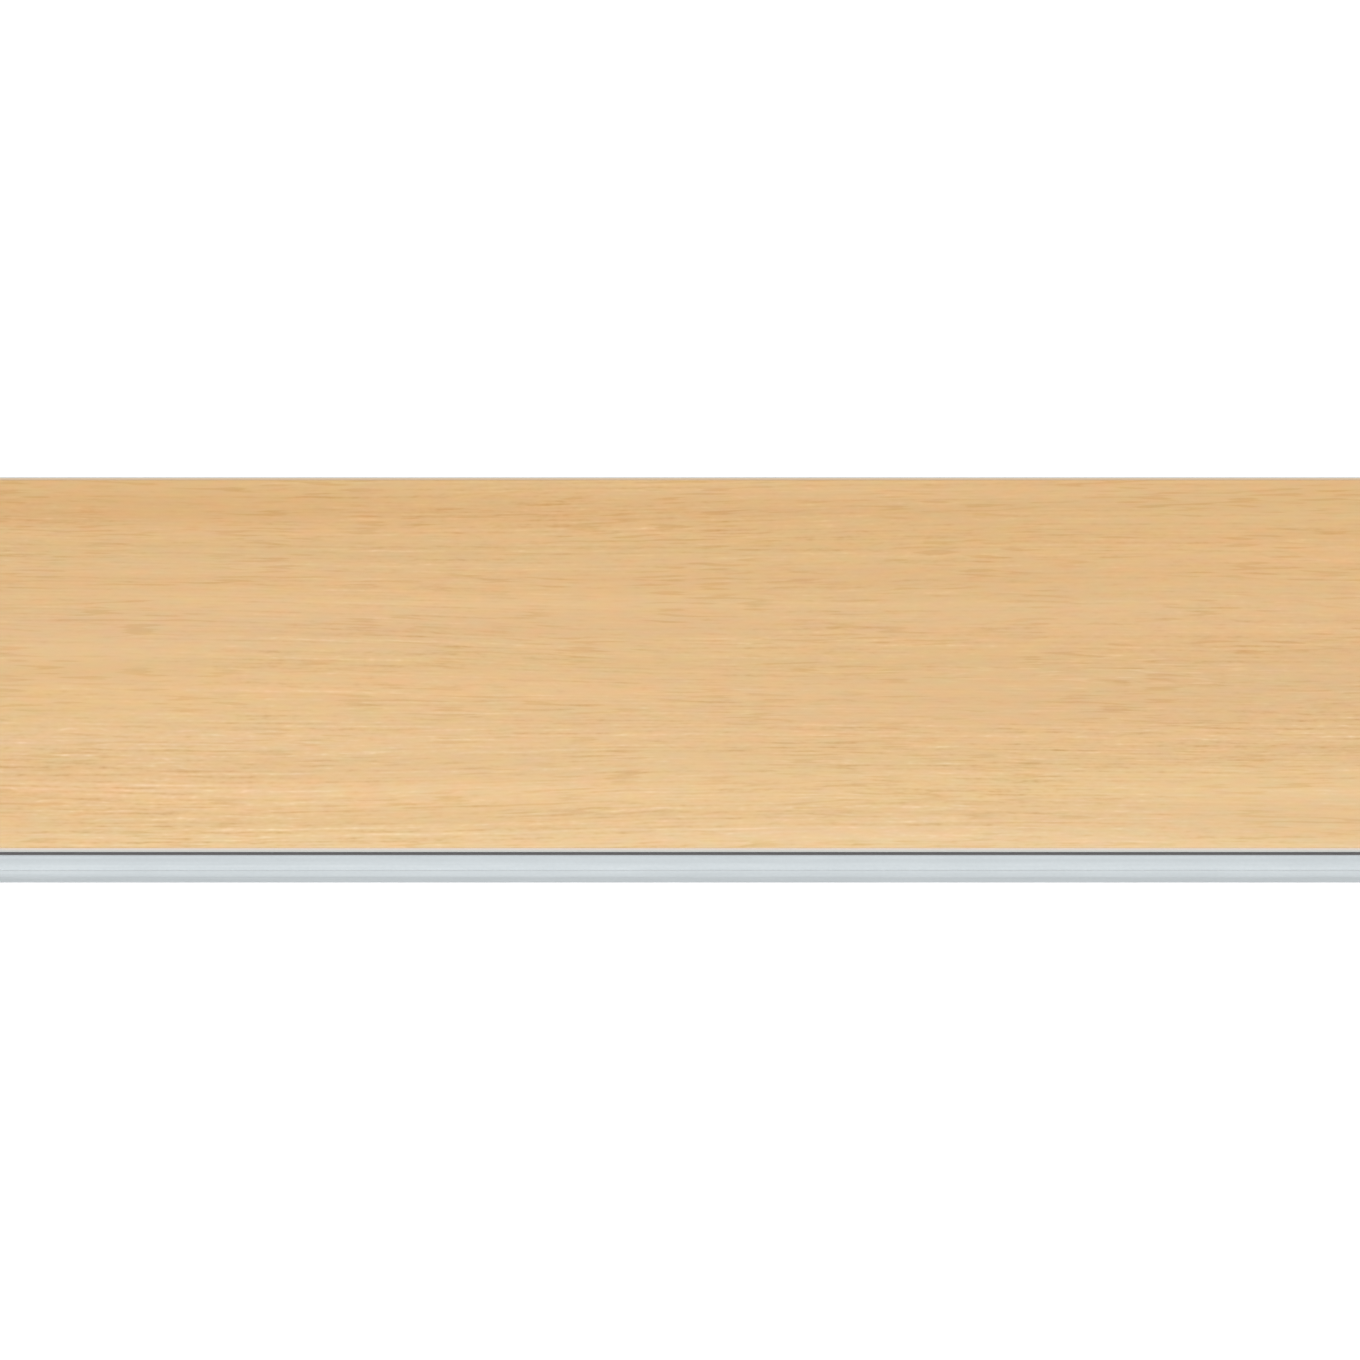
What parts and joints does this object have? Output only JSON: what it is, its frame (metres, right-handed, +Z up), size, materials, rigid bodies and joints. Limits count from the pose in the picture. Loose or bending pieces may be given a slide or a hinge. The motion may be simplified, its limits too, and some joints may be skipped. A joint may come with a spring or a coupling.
{
  "type": "herringbone vinyl plank",
  "caption": "Straight click-lock floor plank for herringbone laying: bevelled oak-print vinyl face on a grey rigid core, with a milled lip on one side and end and a hook on the others.",
  "frame": {"origin": "on the underside, at the middle of the laid area between the four joint lines", "axes": "+X along the plank towards the hooked end, +Y across it towards the hooked long side, +Z up out of the wood-print face"},
  "size_m": [0.6096, 0.1296, 0.005],
  "materials": {
    "wood_print_vinyl": "satin",
    "grey_core": "matte"
  },
  "bodies": {
    "root": {"wood_print_vinyl_face": "wood_print_vinyl", "rigid_core": "grey_core"}
  },
  "joints": []
}
